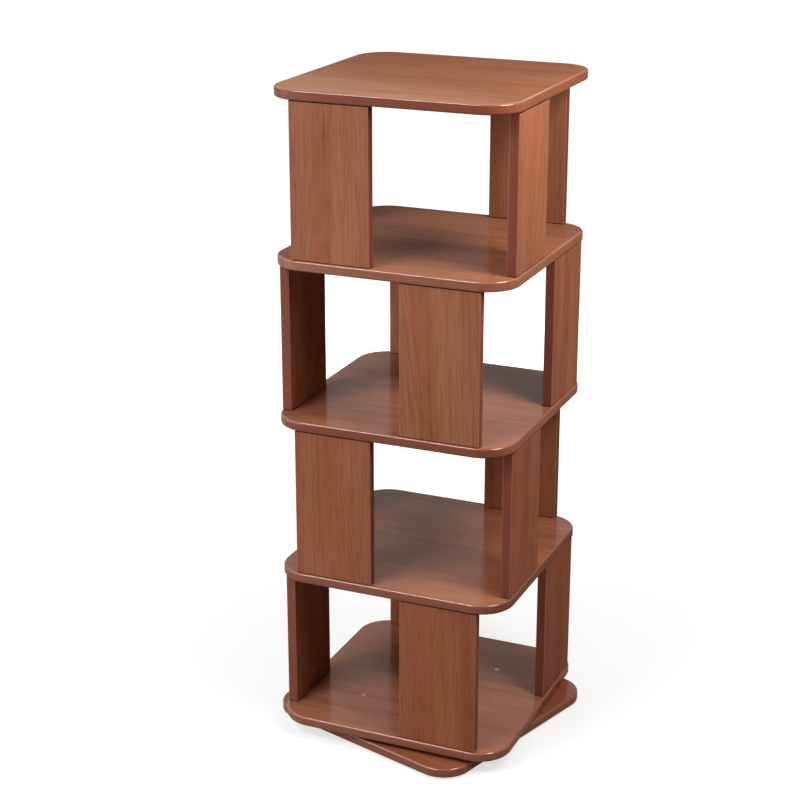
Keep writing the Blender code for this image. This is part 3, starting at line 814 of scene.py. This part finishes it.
# Less glow near the object paints a soft shade round it
glow_with_painted_shade = calculated(tree, "MULTIPLY", ranged(tree, away, (0.68, 1.0), (0.3, 2.4)), flag)
matt = add_node(tree, "ShaderNodeBsdfDiffuse", {"Color": FLOOR_BOUNCE}).outputs[0]
glow = add_node(tree, "ShaderNodeEmission", {"Color": (1.0, 1.0, 1.0, 1.0), "Strength": glow_with_painted_shade}).outputs[0]
white = add_node(tree, "ShaderNodeAddShader", {0: matt, 1: glow}).outputs[0]
shown = add_node(tree, "ShaderNodeMixShader", {0: seen, 1: matt, 2: white}).outputs[0]
set_inputs(tree, tree.nodes["Material Output"], {"Surface": shown})
floor.data.materials.append(paper)


def softbox(name, place, aim, width, height, watts, tint=(1.0, 1.0, 1.0)):
    """A flat soft lamp of that width and height at place, facing aim and hidden from the camera."""
    data = bpy.data.lights.new(name, "AREA")
    data.shape = "RECTANGLE"
    data.size = width
    data.size_y = height
    data.energy = watts
    data.color = tint
    lamp = bpy.data.objects.new(name, data)
    bpy.context.collection.objects.link(lamp)
    back = np.array(place) - np.array(aim)
    flat = math.hypot(back[0], back[1])
    lamp.location = place
    lamp.visible_camera = False
    lamp.rotation_euler = (math.atan2(flat, back[2]), 0.0, math.atan2(back[0], -back[1]))
    return lamp


softbox("key_front", (-1.0, -2.2, 3.0), (0.0, 0.0, 0.6), 1.5, 0.6, 62.0)
softbox("key_left", (-1.5, -1.2, 0.75), (0.0, 0.0, 0.75), 1.8, 1.3, 18.0, (0.95, 0.97, 1.0))
softbox("near_right", (0.92, -0.22, 1.72), (0.15, 0.0, 0.95), 0.5, 0.5, 13.5, (1.0, 0.95, 0.88))
softbox("fill_right", (1.8, -0.8, 2.2), (0.0, 0.0, 0.7), 1.0, 1.0, 19.0, (1.0, 0.96, 0.90))
shine = softbox("shine_card", (-0.37, 0.52, 1.5), (-0.75, -0.40, 1.5), 1.4, 0.3, 1.7, (1.0, 0.72, 0.52))
shine.visible_diffuse = False
behind = softbox("fill_back", (-1.0, 2.6, 0.6), (0.0, 0.0, 0.7), 1.4, 0.8, 38.0)
behind.visible_glossy = False

# The sky is white to the camera, dim as a light, and in reflections dark at the horizon and on the right
world = bpy.data.worlds.new("studio_sky")
world.use_nodes = True
bpy.context.scene.world = world
tree = world.node_tree
path = tree.nodes.new("ShaderNodeLightPath").outputs
place = add_node(tree, "ShaderNodeTexCoord").outputs["Generated"]
ways = add_node(tree, "ShaderNodeSeparateXYZ", {0: place}).outputs
dim = ranged(tree, ways["Z"], (0.06, 0.25))
wall = ranged(tree, ways["Z"], (0.04, 1.0), (0.22, 0.34), "SMOOTHSTEP")
flag = ranged(tree, ways["X"], (1.0, 0.1), (-0.15, 0.25))
level = mixed(tree, path["Is Glossy Ray"], dim, calculated(tree, "MULTIPLY", wall, flag), "FLOAT")
clear = calculated(tree, "MAXIMUM", path["Is Camera Ray"], path["Is Transmission Ray"])
level = mixed(tree, clear, level, 1.0, "FLOAT")
set_inputs(tree, tree.nodes["Background"], {"Color": level})


# Camera: where the photograph was taken from, worked out from the corners of the boards in it.
CAMERA_PLACE = (1.23344, -3.01647, 1.77560)
CAMERA_AZIMUTH = math.radians(23.306)
CAMERA_ELEVATION = math.radians(19.358)
LENS_MM = 83.92
SENSOR_MM = 36.0

lens = bpy.data.cameras.new("camera")
lens.sensor_width = SENSOR_MM
lens.lens = LENS_MM
camera = bpy.data.objects.new("camera", lens)
bpy.context.collection.objects.link(camera)
camera.location = CAMERA_PLACE
camera.rotation_euler = (math.pi / 2 - CAMERA_ELEVATION, 0.0, CAMERA_AZIMUTH)
bpy.context.scene.camera = camera
bpy.context.scene.view_settings.view_transform = "Standard"
